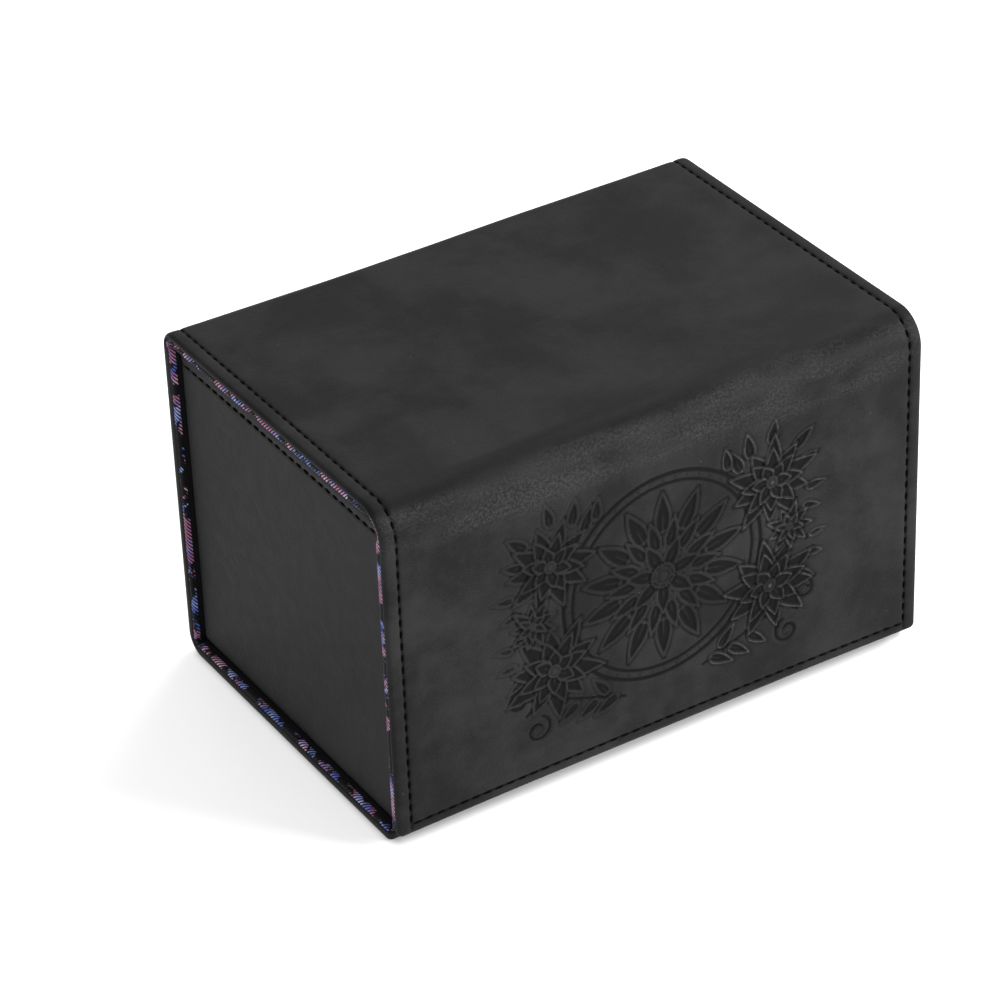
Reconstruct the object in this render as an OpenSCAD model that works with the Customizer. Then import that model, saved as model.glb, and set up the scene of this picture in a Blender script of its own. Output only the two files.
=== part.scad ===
// Card deck box: a wrap-around cover with a magnetic flap, holding an open tray.
// X runs along the hinge lines, -Y is the front and Z = 0 is the surface it stands on.

/* [Cover] */
// Length of the cover, along the hinge lines
cover_len = 161; // [150:1:200]
// Depth of the closed box, front to back
cover_depth = 109; // [100:1:130]
// Height of the closed box
cover_height = 100; // [95:1:120]
// Thickness of the outer leather
leather_t = 1.2; // [0.8:0.1:1.6]
// Thickness of the boards inside the cover
board_t = 2; // [1.6:0.1:3]
// Thickness of the lining cloth
lining_t = 0.8; // [0.4:0.1:1.2]
// Width of the turned edge around the boards
turn_w = 1; // [0.6:0.1:2]
// Height of the flap's lower edge above the ground
flap_clearance = 4; // [2:0.5:8]
// Distance from the flap's outer face back to the bottom panel's front edge
bottom_setback = 5; // [4.5:0.5:8]

/* [Bends] */
// Outer radius of the soft fold between lid and flap
front_r = 9; // [6:0.5:12]
// Outer radius of the fold between back and lid
rear_r = 5; // [4.8:0.1:8]
// Outer radius of the bend between bottom and back
heel_r = 6; // [5:0.5:9]

/* [Tray] */
// How far the tray's end panels stand back from the cover's ends
tray_recess = 2.5; // [2:0.5:6]
// Thickness of the leather on the tray
tray_leather_t = 0.8; // [0.6:0.1:1.2]
// Thickness of the tray's wall boards
tray_board_t = 1.6; // [1.2:0.1:2.4]
// Thickness of the tray's lining cloth
tray_lining_t = 0.6; // [0.4:0.1:1]
// Gap between the tray's rim and the closed lid
rim_gap = 0.7; // [0.5:0.1:2]
// Gap between the tray's front and the closed flap
flap_gap = 0.5; // [0.4:0.1:1.5]

/* [Divider] */
// Thickness of the divider's board
divider_board_t = 1.6; // [1.2:0.1:2.4]
// Thickness of the cloth on the divider
divider_cloth_t = 0.4; // [0.3:0.1:0.8]
// Gap between the divider and the tray
divider_gap = 0.4; // [0.3:0.1:1]
// Height of the divider
divider_h = 86; // [60:1:90]
// Radius of the finger notch in the divider
notch_r = 14; // [8:1:20]

/* [Magnets] */
// Diameter of the closing magnets
magnet_d = 14; // [8:1:18]
// Distance of each magnet from the middle of the box
magnet_x = 50; // [30:1:60]
// Height of the magnets above the ground
magnet_z = 17; // [14:1:30]
// Thickness of the magnets in the flap
flap_magnet_t = 1.8; // [1:0.1:2]
// Thickness of the magnets in the tray
tray_magnet_t = 1.5; // [1:0.1:1.6]

/* [Stitching] */
// Distance from one stitch to the next
stitch_pitch = 3.5; // [2.5:0.1:5]
// Length of one stitch
stitch_len = 2.6; // [1.5:0.1:3]
// Width of the thread
thread_w = 0.7; // [0.4:0.1:1]
// Depth of the groove that the thread lies in
groove_t = 0.6; // [0.4:0.1:0.7]
// Distance from the cover's ends to its rows of stitches
end_inset = 4; // [3:0.5:8]
// Distance from the free edges to their rows of stitches
edge_inset = 3; // [2.5:0.5:8]
// Distance from the tray's rim to the row on each end panel
rim_inset = 4.5; // [3:0.5:8]

/* [Hidden] */
$fn = 64;

// Where the pieces stand
eps = 0.1;
cover_t = leather_t + board_t + lining_t;
half_len = cover_len / 2;
front_y = -cover_depth / 2;
rear_y = cover_depth / 2;
bottom_y = front_y + bottom_setback;
bottom_w = rear_y - heel_r - bottom_y;
back_w = cover_height - rear_r - heel_r;
lid_w = cover_depth - rear_r - front_r;
flap_w = cover_height - front_r - flap_clearance;
// Share of the thickness that the turned leather covers on a panel's end
turned_t = leather_t + 0.3;

// The tray's outer faces and its inside
tray_x = half_len - tray_recess;
tray_front = front_y + cover_t + flap_gap;
tray_rear = rear_y - cover_t;
tray_top = cover_height - cover_t - rim_gap;
end_wall_t = tray_leather_t + tray_board_t + tray_lining_t;
rear_wall_t = tray_board_t + tray_lining_t;
inner_x = tray_x - end_wall_t;
inner_front = tray_front + end_wall_t;
inner_rear = tray_rear - rear_wall_t;

tray_row_len = tray_rear - tray_front - 2 * (front_r - cover_t);

// Clearance of a magnet in its pocket
pocket_gap = 0.1;
// Width of the groove for a row of stitches
groove_w = thread_w + 0.2;
// Radius of the tray's small corners
tray_corner_r = 1.5;

// A box spanning two corners
module span(lo, hi) {
    translate(lo) cube(hi - lo);
}

// Each panel below is drawn flat: X along the box, Y from its first edge, Z inwards from the outer face

// Boxes for the stitches of one row, centred on a length, along X
module stitch_row(length) {
    count = floor(length / stitch_pitch);
    for (i = [0 : count - 1])
        translate([(i - (count - 1) / 2) * stitch_pitch - stitch_len / 2, -thread_w / 2, 0])
            cube([stitch_len, thread_w, groove_t]);
}

// The rows of one panel: one near each end and, on a free edge, one along it
module panel_rows(w, free) {
    for (side = [-1, 1])
        translate([side * (half_len - end_inset), w / 2, 0]) rotate([0, 0, 90])
            stitch_row(w - (free ? 2 * edge_inset : 1));
    if (free)
        translate([0, edge_inset, 0]) stitch_row(cover_len - 2 * end_inset - stitch_pitch);
}

module panel_grooves(w, free) {
    first = free ? edge_inset - groove_w / 2 : -eps;
    for (side = [-1, 1])
        translate([side * (half_len - end_inset) - groove_w / 2, first, -eps])
            cube([groove_w, w + eps - first, groove_t + eps]);
    if (free)
        translate([end_inset - half_len, edge_inset - groove_w / 2, -eps])
            cube([cover_len - 2 * end_inset, groove_w, groove_t + eps]);
}

// The space inside a panel's turned edges
module panel_core(w, free, from, to) {
    span([turn_w - half_len, free ? turn_w : -eps, from], [half_len - turn_w, w + eps, to]);
}

module leather_panel(w, free = false) {
    difference() {
        span([-half_len, 0, 0], [half_len, w, turned_t]);
        panel_core(w, free, leather_t, turned_t + eps);
        panel_grooves(w, free);
    }
}

module board_panel(w, free = false) {
    span([turn_w - half_len, free ? turn_w : 0, leather_t], [half_len - turn_w, w, leather_t + board_t]);
}

module lining_panel(w, free = false) {
    difference() {
        span([-half_len, 0, turned_t], [half_len, w, cover_t]);
        panel_core(w, free, turned_t - eps, leather_t + board_t);
    }
}

// A quarter ring along X, from +Y round to +Z
module quarter(r_out, r_in, from, to) {
    translate([from, 0, 0]) rotate([90, 0, 90]) intersection() {
        difference() {
            cylinder(r = r_out, h = to - from);
            translate([0, 0, -eps]) cylinder(r = r_in, h = to - from + 2 * eps);
        }
        translate([0, 0, -eps]) cube([r_out + eps, r_out + eps, to - from + 2 * eps]);
    }
}

// The leather round a bend, with its turned ends and its grooves
module leather_bend(r) {
    inner = r - leather_t - board_t;
    difference() {
        quarter(r, inner, -half_len, half_len);
        for (side = [-1, 1]) {
            at = side * (half_len - turn_w / 2);
            row = side * (half_len - end_inset);
            quarter(r - turned_t, inner - eps, at - turn_w / 2 - (side < 0 ? eps : 0),
                at + turn_w / 2 + (side > 0 ? eps : 0));
            quarter(r + eps, r - groove_t, row - groove_w / 2, row + groove_w / 2);
        }
    }
}

// The lining round a bend, with the lips that meet the turned leather
module lining_bend(r) {
    quarter(r - leather_t - board_t, r - cover_t, -half_len, half_len);
    for (at = [turn_w / 2 - half_len, half_len - turn_w / 2])
        quarter(r - turned_t, r - cover_t, at - turn_w / 2, at + turn_w / 2);
}

// Places a flat panel where it belongs in the closed box
module place_bottom() { translate([0, bottom_y, 0]) children(); }
module place_back() { translate([0, rear_y, heel_r]) rotate([90, 0, 0]) children(); }
module place_lid() { translate([0, rear_y - rear_r, cover_height]) rotate([180, 0, 0]) children(); }
module place_flap() { translate([0, front_y, flap_clearance]) rotate([90, 0, 0]) mirror([0, 0, 1]) children(); }
module place_heel() { translate([0, rear_y - heel_r, heel_r]) rotate([-90, 0, 0]) children(); }
module place_rear_fold() { translate([0, rear_y - rear_r, cover_height - rear_r]) children(); }
module place_front_fold() {
    translate([0, front_y + front_r, cover_height - front_r]) rotate([90, 0, 0]) children();
}

// Fixed part of the cover
module bottom_leather() { color("#1c1b1c") place_bottom() leather_panel(bottom_w, true); }
module heel_leather() { color("#1c1b1c") place_heel() leather_bend(heel_r); }
module back_leather() { color("#1c1b1c") place_back() leather_panel(back_w); }
module bottom_board() { color("#8d8577") place_bottom() board_panel(bottom_w, true); }
module back_board() { color("#8d8577") place_back() board_panel(back_w); }
module bottom_stitching() { color("#0a0a0b") place_bottom() panel_rows(bottom_w, true); }
module back_stitching() { color("#0a0a0b") place_back() panel_rows(back_w, false); }

module base_lining() {
    color("#5c4a72") {
        place_bottom() lining_panel(bottom_w, true);
        place_heel() lining_bend(heel_r);
        place_back() lining_panel(back_w);
    }
}

// Lid
module lid_leather() { color("#1c1b1c") place_lid() leather_panel(lid_w); }
module lid_board() { color("#8d8577") place_lid() board_panel(lid_w); }
module lid_lining() { color("#5c4a72") place_lid() lining_panel(lid_w); }
module lid_stitching() { color("#0a0a0b") place_lid() panel_rows(lid_w, false); }

// Soft folds, which have no board in them
module rear_fold_leather() { color("#242324") place_rear_fold() leather_bend(rear_r); }
module rear_fold_lining() { color("#5c4a72") place_rear_fold() lining_bend(rear_r); }
module front_fold_leather() { color("#242324") place_front_fold() leather_bend(front_r); }
module front_fold_lining() { color("#5c4a72") place_front_fold() lining_bend(front_r); }

// Flap
module flap_leather() { color("#1c1b1c") place_flap() leather_panel(flap_w, true); }
module flap_lining() { color("#5c4a72") place_flap() lining_panel(flap_w, true); }
module flap_stitching() { color("#0a0a0b") place_flap() panel_rows(flap_w, true); }

module flap_board() {
    color("#8d8577") difference() {
        place_flap() board_panel(flap_w, true);
        for (side = [-1, 1]) flap_disc(side, magnet_d / 2 + pocket_gap, board_t + 2 * eps);
    }
}

// A disc in the middle of the flap board's thickness
module flap_disc(side, r, t) {
    translate([side * magnet_x, front_y + leather_t + (board_t - t) / 2, magnet_z])
        rotate([-90, 0, 0]) cylinder(r = r, h = t);
}

module flap_magnet(side) { color("silver") flap_disc(side, magnet_d / 2, flap_magnet_t); }

// Outline of the tray's ends, drawn in by an inset, as an extrusion along X
module tray_form(x0, x1, inset = 0) {
    heel = heel_r - cover_t + 0.5 - inset;
    shoulder = front_r - cover_t - inset;
    corner = tray_corner_r - inset;
    front = tray_front + inset;
    rear = tray_rear - inset;
    low = cover_t + inset;
    high = tray_top - inset;
    translate([x0, 0, 0]) rotate([90, 0, 90]) linear_extrude(x1 - x0) union() {
        translate([front, low + corner]) square([rear - front - heel, high - low - corner - shoulder]);
        translate([front + corner, low]) square([rear - front - corner - heel, high - low - shoulder]);
        translate([front + shoulder, low + heel]) square([rear - front - shoulder - corner, high - low - heel]);
        translate([front + shoulder, low + heel]) square([rear - front - shoulder, high - low - heel - corner]);
        translate([front + shoulder, high - shoulder]) circle(shoulder);
        translate([rear - corner, high - corner]) circle(corner);
        translate([rear - heel, low + heel]) circle(heel);
        translate([front + corner, low + corner]) circle(corner);
    }
}

// The part of the tray's form between two planes across Y
module tray_slab(x, y0, y1, inset = 0) {
    intersection() {
        tray_form(-x, x, inset);
        span([-x, y0, 0], [x, y1, cover_height]);
    }
}

module tray_end_board(side) {
    outer = side * (tray_x - tray_leather_t);
    inner = side * (tray_x - tray_leather_t - tray_board_t);
    color("#8d8577") tray_form(min(outer, inner), max(outer, inner), tray_leather_t);
}

// One end panel's leather: it covers the board's face and edges, and has a groove for its row of
// stitches; side is -1 on the left
module tray_end_leather(side) {
    outer = side * tray_x;
    inner = side * (tray_x - tray_leather_t - tray_board_t);
    color("#1c1b1c") difference() {
        tray_form(min(outer, inner), max(outer, inner));
        tray_end_board(side);
        translate([outer, (tray_front + tray_rear) / 2, tray_top - rim_inset])
            cube([2 * groove_t, tray_row_len, groove_w], center = true);
    }
}

// The row of stitches below one end panel's rim
module tray_end_stitching(side) {
    color("#0a0a0b") translate([side * tray_x, (tray_front + tray_rear) / 2, tray_top - rim_inset])
        rotate([0, -90 * side, 0]) rotate([0, 0, 90]) stitch_row(tray_row_len - stitch_pitch);
}

// The front wall's leather: it covers the board's face and its top edge
module tray_front_leather() {
    x = tray_x - tray_leather_t - tray_board_t;
    y1 = tray_front + tray_leather_t + tray_board_t;
    color("#1c1b1c") difference() {
        tray_slab(x, tray_front, y1);
        tray_slab(x + eps, tray_front + tray_leather_t, y1 + eps, tray_leather_t);
        span([-x - eps, tray_front + tray_leather_t, 0], [x + eps, y1 + eps, cover_t + tray_leather_t + eps]);
    }
}

module tray_front_board() {
    y0 = tray_front + tray_leather_t;
    color("#8d8577") difference() {
        tray_slab(tray_x - tray_leather_t - tray_board_t, y0, y0 + tray_board_t, tray_leather_t);
        for (side = [-1, 1]) tray_disc(side, magnet_d / 2 + pocket_gap, tray_board_t + 2 * eps);
    }
}

// A disc in the middle of the tray's front board
module tray_disc(side, r, t) {
    translate([side * magnet_x, tray_front + tray_leather_t + (tray_board_t - t) / 2, magnet_z])
        rotate([-90, 0, 0]) cylinder(r = r, h = t);
}

module tray_magnet(side) { color("silver") tray_disc(side, magnet_d / 2, tray_magnet_t); }

module tray_back_board() {
    x = tray_x - tray_leather_t - tray_board_t;
    color("#8d8577") span([-x, tray_rear - tray_board_t, heel_r + 0.5],
        [x, tray_rear, tray_top - tray_leather_t]);
}

// The cloth on the tray's four walls
module tray_lining() {
    x = inner_x + tray_lining_t;
    color("#5c4a72") difference() {
        tray_slab(x, inner_front - tray_lining_t, inner_rear + tray_lining_t);
        span([-inner_x, inner_front, 0], [inner_x, inner_rear, cover_height]);
    }
}

// Divider, drawn as a plate across X with a finger notch in its top edge
module divider_plate(t, inset, z0) {
    difference() {
        span([-t / 2, inner_front + divider_gap + inset, z0],
            [t / 2, inner_rear - divider_gap - inset, cover_t + divider_gap + divider_h - inset]);
        translate([-t, (inner_front + inner_rear) / 2, cover_t + divider_gap + divider_h])
            rotate([0, 90, 0]) cylinder(r = notch_r + inset, h = 2 * t);
    }
}

module divider_board() {
    color("#8d8577") divider_plate(divider_board_t, divider_cloth_t, cover_t + divider_gap);
}

module divider_cloth() {
    color("#5c4a72") difference() {
        divider_plate(divider_board_t + 2 * divider_cloth_t, 0, cover_t + divider_gap);
        divider_plate(divider_board_t, divider_cloth_t, cover_t + divider_gap - eps);
    }
}

bottom_leather();
heel_leather();
back_leather();
bottom_board();
back_board();
base_lining();
bottom_stitching();
back_stitching();
tray_end_leather(-1);  // tray_left_leather
tray_end_leather(1);  // tray_right_leather
tray_front_leather();
tray_end_board(-1);  // tray_left_board
tray_end_board(1);  // tray_right_board
tray_front_board();
tray_back_board();
tray_lining();
tray_end_stitching(-1);  // tray_left_stitching
tray_end_stitching(1);  // tray_right_stitching
tray_magnet(-1);  // tray_left_magnet
tray_magnet(1);  // tray_right_magnet
rear_fold_leather();
rear_fold_lining();
lid_leather();
lid_board();
lid_lining();
lid_stitching();
front_fold_leather();
front_fold_lining();
flap_leather();
flap_board();
flap_lining();
flap_stitching();
flap_magnet(-1);  // flap_left_magnet
flap_magnet(1);  // flap_right_magnet
divider_board();
divider_cloth();
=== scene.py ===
"""Looks of the card deck box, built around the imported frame. Metres, +Z up, -Y is the front."""
import math
import bmesh
import bpy
import numpy as np
from mathutils import Matrix, Vector


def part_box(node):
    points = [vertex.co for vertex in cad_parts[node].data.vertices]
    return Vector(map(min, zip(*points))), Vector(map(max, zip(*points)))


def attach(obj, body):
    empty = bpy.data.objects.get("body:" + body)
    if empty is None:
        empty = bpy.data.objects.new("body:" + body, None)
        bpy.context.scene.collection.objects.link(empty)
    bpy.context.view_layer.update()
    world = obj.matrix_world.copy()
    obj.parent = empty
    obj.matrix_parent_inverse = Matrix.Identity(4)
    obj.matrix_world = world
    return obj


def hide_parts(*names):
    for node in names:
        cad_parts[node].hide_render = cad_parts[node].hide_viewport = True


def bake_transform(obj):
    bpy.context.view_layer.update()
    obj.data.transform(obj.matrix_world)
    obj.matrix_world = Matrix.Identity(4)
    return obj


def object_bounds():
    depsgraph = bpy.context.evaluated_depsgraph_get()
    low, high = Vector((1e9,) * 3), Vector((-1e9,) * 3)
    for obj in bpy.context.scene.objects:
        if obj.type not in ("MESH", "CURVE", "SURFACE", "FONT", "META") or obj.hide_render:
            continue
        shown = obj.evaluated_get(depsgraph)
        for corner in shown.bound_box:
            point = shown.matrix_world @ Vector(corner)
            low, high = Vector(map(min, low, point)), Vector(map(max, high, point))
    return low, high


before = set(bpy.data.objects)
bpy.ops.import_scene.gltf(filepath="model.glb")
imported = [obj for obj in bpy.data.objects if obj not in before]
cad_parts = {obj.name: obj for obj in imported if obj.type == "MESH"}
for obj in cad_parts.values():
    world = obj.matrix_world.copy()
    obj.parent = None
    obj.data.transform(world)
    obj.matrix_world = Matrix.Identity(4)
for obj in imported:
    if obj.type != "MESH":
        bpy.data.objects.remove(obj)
cad_lo, cad_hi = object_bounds()
scene = bpy.context.scene
MM = 0.001

# ---------------- sizes, read from the frame
HALF_LEN = cad_hi.x
FRONT_Y, REAR_Y, TOP_Z = cad_lo.y, cad_hi.y, cad_hi.z
R_FRONT = TOP_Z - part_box("front_fold_leather")[0].z
R_REAR = TOP_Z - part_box("rear_fold_leather")[0].z
R_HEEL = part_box("heel_leather")[1].z
BOTTOM_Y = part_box("bottom_leather")[0].y
FLAP_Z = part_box("flap_leather")[0].z
COVER_T = TOP_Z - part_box("lid_lining")[0].z
TRAY_LO, TRAY_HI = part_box("tray_left_leather")
TRAY_X = -TRAY_LO.x
LINING_LO, LINING_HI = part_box("tray_lining")
CAD_THREAD_R = 0.35 * MM
SEAM_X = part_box("lid_stitching")[1].x - CAD_THREAD_R
HEM_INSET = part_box("flap_stitching")[0].z + CAD_THREAD_R - FLAP_Z
TRAY_SEAM_Z = (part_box("tray_left_stitching")[0].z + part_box("tray_left_stitching")[1].z) / 2
STITCH, STITCH_GAP, STITCH_SLANT = 3.5 * MM, 0.75 * MM, 0.10 * MM
# Strength and width of the painted shade along the rows of stitches
SEAM_SHADE, SEAM_SHADE_WIDTH = 0.34 * MM, 0.50 * MM
GROUND_GAP = 0.02 * MM

# ---------------- the cover, unrolled
# The cover is one strip: s runs from the bottom panel's front edge, under the box, up the back,
# over the lid and down the flap. d is the depth below the outer face.
STRETCHES = [
    ("bottom", REAR_Y - R_HEEL - BOTTOM_Y), ("heel", R_HEEL * math.pi / 2),
    ("back", TOP_Z - R_HEEL - R_REAR), ("rear_fold", R_REAR * math.pi / 2),
    ("lid", REAR_Y - R_REAR - FRONT_Y - R_FRONT), ("front_fold", R_FRONT * math.pi / 2),
    ("flap", TOP_Z - R_FRONT - FLAP_Z),
]
S = {}
S_END = 0.0
for stretch_name, stretch_length in STRETCHES:
    S[stretch_name] = S_END
    S_END += stretch_length
# The cover's leather and lining are each made in two pieces, which meet on the flat lid
S_SPLIT = S["front_fold"] - 22 * MM
HEMS = (HEM_INSET, S_END - HEM_INSET)


def wrap(x, s, d):
    """Points of the closed cover from its unrolled coordinates."""
    x, s, d = np.broadcast_arrays(*(np.asarray(v, float) for v in (x, s, d)))

    def turn(start, radius, centre, first):
        a = first + (s - S[start]) / radius
        return centre[0] + (radius - d) * np.cos(a), centre[1] + (radius - d) * np.sin(a)

    ways = [
        (BOTTOM_Y + s, d),
        turn("heel", R_HEEL, (REAR_Y - R_HEEL, R_HEEL), -math.pi / 2),
        (REAR_Y - d, R_HEEL + s - S["back"]),
        turn("rear_fold", R_REAR, (REAR_Y - R_REAR, TOP_Z - R_REAR), 0.0),
        (REAR_Y - R_REAR - (s - S["lid"]), TOP_Z - d),
        turn("front_fold", R_FRONT, (FRONT_Y + R_FRONT, TOP_Z - R_FRONT), math.pi / 2),
        (FRONT_Y + d, TOP_Z - R_FRONT - (s - S["flap"])),
    ]
    starts = [S[name] for name, _ in STRETCHES[1:]]
    which = np.searchsorted(starts, s, side="right")
    y = np.choose(which, [w[0] for w in ways])
    z = np.choose(which, [w[1] for w in ways])
    return settle(np.stack([x, y, z], -1))


def smooth(t):
    t = np.clip(t, 0, 1)
    return t * t * (3 - 2 * t)


def bell(t):
    return np.exp(-t ** 2)


def settle(p):
    """The small sags of a used box at its lid, back and flap. Its foot stays on the ground."""
    x, y, z = p[..., 0], p[..., 1], p[..., 2]
    along = 1 - (x / HALF_LEN) ** 2
    rear = bell((x + 35 * MM) / (38 * MM)) * smooth((y - 10 * MM) / (40 * MM))
    sag = 0.55 * MM * rear * smooth((z - TOP_Z + 14 * MM) / (12 * MM))
    front = smooth((FRONT_Y + 6 * MM - y) / (2 * MM)) * smooth((TOP_Z - R_FRONT - z) / (70 * MM))
    low = smooth((FLAP_Z + 30 * MM - z) / (30 * MM)) * smooth((FRONT_Y + 6 * MM - y) / (2 * MM))
    back = smooth((y - REAR_Y + 6 * MM) / (3 * MM)) * np.sin(np.clip(z / TOP_Z, 0, 1) * math.pi)
    return np.stack([
        x,
        y + 0.35 * MM * along * front + 0.25 * MM * along * back,
        np.maximum(z - sag + 0.45 * MM * along * low, GROUND_GAP),
    ], -1)


def window(s, first, last, ramp):
    return smooth((s - first) / ramp) * smooth((last - s) / ramp)


def inner_depth(s):
    """Depth of the lining's face: it sinks into the board-free gutter at each bend."""
    s = np.asarray(s, float)
    gutter = 1.5 * MM * window(s, S["rear_fold"] - 1 * MM, S["lid"] + 1 * MM, 2.6 * MM)
    gutter = gutter + 1.3 * MM * window(s, S["front_fold"] - 1 * MM, S["flap"] + 1 * MM, 5 * MM)
    gutter = gutter + 0.6 * MM * window(s, S["heel"], S["back"], 3 * MM)
    return COVER_T - gutter


def turned_depth(s):
    """Depth that the turned leather reaches on the cover's ends: more on the bottom and back."""
    s = np.asarray(s, float)
    return 2.75 * MM - 1.05 * MM * smooth((s - S["rear_fold"] + 1 * MM) / (8 * MM))


# ---------------- surface relief
def waves(x, s, seed, shortest, longest, count=9):
    """A smooth, fixed unevenness of about 1 either way."""
    rng = np.random.default_rng(seed)
    total = np.zeros(np.broadcast(x, s).shape)
    for _ in range(count):
        k = 2 * math.pi / rng.uniform(shortest, longest)
        a, phase = rng.uniform(0, math.pi), rng.uniform(0, 2 * math.pi)
        total += np.sin(k * (x * math.cos(a) + s * math.sin(a)) + phase)
    return total / math.sqrt(count)


def seam_valley(across, along):
    """How far a row of stitches pulls the leather down, more at each needle hole."""
    pull = 0.25 + 0.10 * np.cos(2 * math.pi * along / STITCH)
    return MM * pull * bell(across / (0.60 * MM))


def painted_seam_shade(away):
    """How strongly painted shade darkens the leather at a distance from a row of stitches."""
    return SEAM_SHADE * bell(away / SEAM_SHADE_WIDTH)


def seam_shade(x, s):
    """Painted shade: the dark lines along the cover's rows of stitches."""
    edge = np.abs(x) - SEAM_X
    mark = painted_seam_shade(edge)
    for hem in HEMS:
        mark = np.where(edge < 0, np.maximum(mark, painted_seam_shade(s - hem)), mark)
    return mark


def leather_face(x, s):
    """Depth of the outer leather's face at each point."""
    edge = np.abs(x) - SEAM_X
    d = seam_valley(edge, s)
    for hem in HEMS:
        d = np.where(edge < 0, np.maximum(d, seam_valley(s - hem, x)), d)
    outer_puff = bell((edge - 1.9 * MM) / (1.3 * MM))
    inner_puff = 0.6 * bell((edge + 2.6 * MM) / (1.8 * MM))
    d = d - 0.10 * MM * (outer_puff + inner_puff)
    d = d + 0.045 * MM * waves(x, s, 3, 26 * MM, 90 * MM)
    fold = window(s, S["front_fold"] - 4 * MM, S["flap"] + 5 * MM, 5 * MM)
    creases = waves(x / 9, s, 11, 1.7 * MM, 4.2 * MM, 12)
    strength = 0.6 + 0.4 * waves(x, s, 12, 12 * MM, 40 * MM, 5)
    d = d + 0.016 * MM * fold * creases * strength
    rear = window(s, S["rear_fold"] - 2 * MM, S["lid"] + 3 * MM, 3 * MM)
    d = d + 0.012 * MM * rear * waves(x / 7, s, 17, 1.8 * MM, 4 * MM, 8)
    return d


# ---------------- ornament pressed into the flap
# A plain botanical medallion: a double ring round a rosette, with a blossom spray and a scroll
# at each side. Its plane is the flap's face, (x, height), both in millimetres here.
RING_AT, RING_R = (0.0, 52.0), 30.0
ORNAMENT_HALF = 49.0
ORNAMENT_LOW, ORNAMENT_HIGH = 14.0, 88.0


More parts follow.
